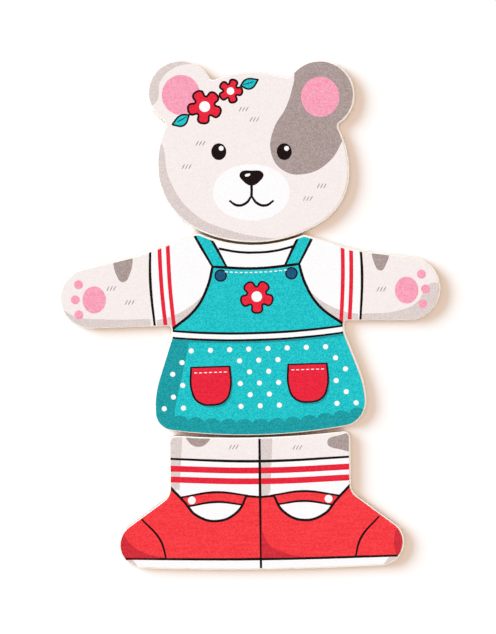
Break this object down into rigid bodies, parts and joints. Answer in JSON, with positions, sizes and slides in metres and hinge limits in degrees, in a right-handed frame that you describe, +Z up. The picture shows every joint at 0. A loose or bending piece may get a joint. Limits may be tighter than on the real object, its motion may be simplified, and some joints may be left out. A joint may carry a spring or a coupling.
{
  "type": "wooden dress-up puzzle",
  "caption": "Flat figure of loose plywood boards with printed faces: head, torso with arms and dress, and legs with shoes, laid edge to edge and swapped on a table.",
  "frame": {"origin": "middle of the laid-out figure, on the table under its boards", "axes": "+X to the viewer's right, +Y from the shoes to the head, +Z up out of the printed face"},
  "size_m": [0.1268, 0.1698, 0.0041],
  "materials": {
    "face_ply": "sanded bare birch veneer",
    "core_ply": "sawn cross-grain edge",
    "head_print": "printed sheet under a satin varnish",
    "torso_print": "printed sheet under a satin varnish",
    "legs_print": "printed sheet under a satin varnish"
  },
  "bodies": {
    "torso": {"torso_back_ply": "face_ply", "torso_core_ply": "core_ply", "torso_front_ply": "face_ply", "torso_print": "torso_print"},
    "head": {"head_back_ply": "face_ply", "head_core_ply": "core_ply", "head_front_ply": "face_ply", "head_print": "head_print"},
    "legs": {"legs_back_ply": "face_ply", "legs_core_ply": "core_ply", "legs_front_ply": "face_ply", "legs_print": "legs_print"}
  },
  "joints": [
    {"name": "head_slide", "type": "slide", "parent": "torso", "child": "head", "axis": [0, 1, 0], "range_m": [0, 0.06]},
    {"name": "legs_slide", "type": "slide", "parent": "torso", "child": "legs", "axis": [0, -1, 0], "range_m": [0, 0.06]}
  ]
}
